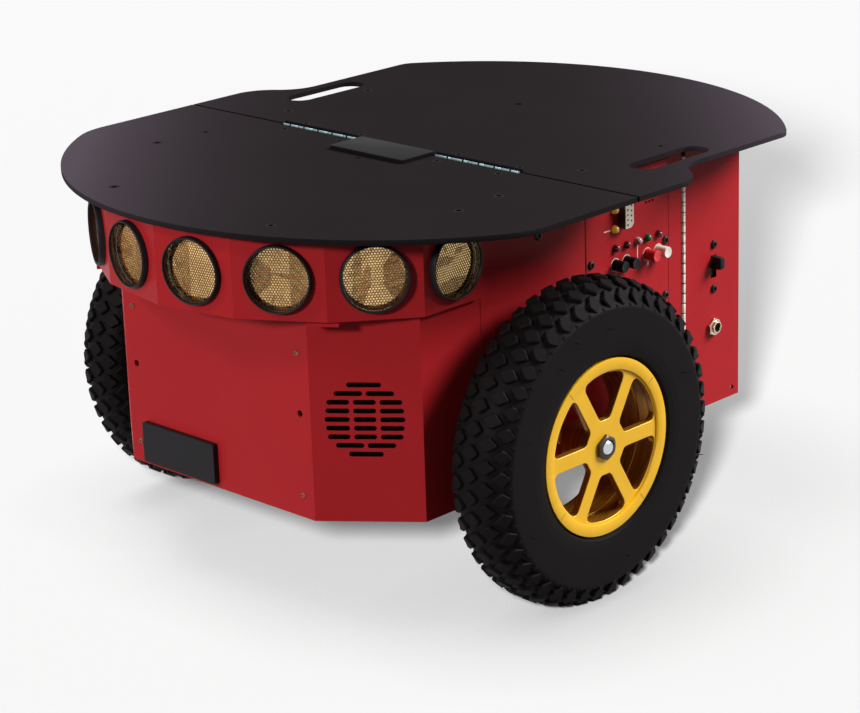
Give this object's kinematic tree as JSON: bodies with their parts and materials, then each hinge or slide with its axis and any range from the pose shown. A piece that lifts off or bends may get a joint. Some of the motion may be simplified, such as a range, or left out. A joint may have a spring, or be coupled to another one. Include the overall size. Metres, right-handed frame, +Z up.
{
  "type": "mobile robot base",
  "caption": "Two-wheel-drive mobile robot base with a sonar ring, hinged deck, tip-down nose, battery door and rear caster.",
  "frame": {"origin": "on the ground under the middle of the deck", "axes": "+Z up, -Y is the front with the sonar ring, +X is the robot's left side with the control panel"},
  "size_m": [0.3816, 0.455, 0.2484],
  "materials": {
    "red_paint": "satin powder coat",
    "deck_black": "fine matt black coat",
    "black_plastic": "moulded, low sheen",
    "gold_mesh": "perforated, bright",
    "dark_plastic": "matt",
    "hinge_steel": "satin",
    "hinge_cream": "satin",
    "black_screw": "black oxide",
    "copper_screw": "worn zinc",
    "battery_case": "moulded",
    "motor_steel": "zinc plated",
    "gearbox_alloy": "cast",
    "circuit_board": "solder mask",
    "red_lens": "clear tinted lens",
    "black_button": "smooth",
    "red_button": "smooth",
    "white_button": "smooth",
    "tyre_rubber": "moulded tread",
    "gold_rim": "gold anodised, satin",
    "caster_rubber": "smooth"
  },
  "bodies": {
    "chassis": {"floor_pan": "red_paint", "floor_riser": "red_paint", "battery_floor": "red_paint", "battery_bay_wall": "red_paint", "front_bulkhead": "red_paint", "left_side_panel": "red_paint", "right_side_panel": "red_paint", "sonar_tray": "red_paint", "sonar_ring": "red_paint", "sonar_bezels": "black_plastic", "sonar_meshes": "gold_mesh", "sonar_transducers": "dark_plastic", "rear_deck": "deck_black", "rear_deck_hinges": "hinge_steel", "chassis_screws": "black_screw", "battery_left": "battery_case", "battery_middle": "battery_case", "battery_right": "battery_case", "left_drive_motor": "motor_steel", "right_drive_motor": "motor_steel", "left_gearbox": "gearbox_alloy", "right_gearbox": "gearbox_alloy", "motor_power_board": "circuit_board", "control_panel": "red_paint", "control_board": "circuit_board", "status_leds": "red_lens", "serial_connector": "black_plastic", "caster_mount": "motor_steel", "body_hinge_leaf": "hinge_cream"},
    "front_deck": {"front_deck": "deck_black", "front_deck_hinges": "hinge_steel", "front_deck_screws": "black_screw"},
    "access_cover": {"access_cover": "black_plastic"},
    "nose": {"nose_shell": "red_paint", "nose_floor": "red_paint", "controller_board": "circuit_board", "speakers": "dark_plastic", "nose_port_cover": "black_plastic", "nose_screws": "copper_screw"},
    "battery_door": {"battery_door": "red_paint", "battery_door_flange": "red_paint", "door_hinge_leaf": "hinge_cream", "door_thumbscrews": "black_plastic", "power_switch_body": "black_plastic", "charge_jack": "hinge_steel"},
    "power_switch_knob": {"power_switch_knob": "black_button"},
    "aux_button": {"aux_button": "black_button"},
    "mode_button": {"mode_button": "black_button"},
    "reset_button": {"reset_button": "red_button"},
    "motors_button": {"motors_button": "white_button"},
    "left_wheel": {"left_tyre": "tyre_rubber", "left_rim": "gold_rim", "left_axle": "motor_steel", "left_hub_nut": "black_screw"},
    "right_wheel": {"right_tyre": "tyre_rubber", "right_rim": "gold_rim", "right_axle": "motor_steel", "right_hub_nut": "black_screw"},
    "caster_fork": {"caster_fork": "motor_steel"},
    "caster_wheel": {"caster_wheel": "caster_rubber"}
  },
  "joints": [
    {"name": "left_wheel_spin", "type": "hinge", "parent": "chassis", "child": "left_wheel", "pos_m": [0.16375, -0.0448, 0.0985], "axis": [1, 0, 0], "continuous": true},
    {"name": "right_wheel_spin", "type": "hinge", "parent": "chassis", "child": "right_wheel", "pos_m": [-0.16375, -0.0448, 0.0985], "axis": [1, 0, 0], "continuous": true},
    {"name": "caster_swivel", "type": "hinge", "parent": "chassis", "child": "caster_fork", "pos_m": [0, 0.1259, 0.084], "axis": [0, 0, 1], "continuous": true},
    {"name": "caster_roll", "type": "hinge", "parent": "caster_fork", "child": "caster_wheel", "pos_m": [0, 0.1519, 0.0375], "axis": [1, 0, 0], "continuous": true},
    {"name": "front_deck_hinge", "type": "hinge", "parent": "chassis", "child": "front_deck", "pos_m": [0, -0.025, 0.246], "axis": [-1, 0, 0], "range_deg": [0, 90]},
    {"name": "access_cover_lift", "type": "slide", "parent": "front_deck", "child": "access_cover", "axis": [0, 0, 1], "range_m": [0, 0.015]},
    {"name": "nose_hinge", "type": "hinge", "parent": "chassis", "child": "nose", "pos_m": [0, -0.094, 0.067], "axis": [1, 0, 0], "range_deg": [0, 35]},
    {"name": "battery_door_hinge", "type": "hinge", "parent": "chassis", "child": "battery_door", "pos_m": [0.1306, 0.0891, 0.157], "axis": [0, 0, -1], "range_deg": [0, 110]},
    {"name": "power_switch_slide", "type": "slide", "parent": "battery_door", "child": "power_switch_knob", "axis": [0, 0, -1], "range_m": [0, 0.006]},
    {"name": "aux_button_press", "type": "slide", "parent": "chassis", "child": "aux_button", "axis": [-1, 0, 0], "range_m": [0, 0.0025], "stiffness_N_per_m": 400},
    {"name": "mode_button_press", "type": "slide", "parent": "chassis", "child": "mode_button", "axis": [-1, 0, 0], "range_m": [0, 0.0025], "stiffness_N_per_m": 400},
    {"name": "reset_button_press", "type": "slide", "parent": "chassis", "child": "reset_button", "axis": [-1, 0, 0], "range_m": [0, 0.0025], "stiffness_N_per_m": 400},
    {"name": "motors_button_press", "type": "slide", "parent": "chassis", "child": "motors_button", "axis": [-1, 0, 0], "range_m": [0, 0.0025], "stiffness_N_per_m": 400}
  ]
}
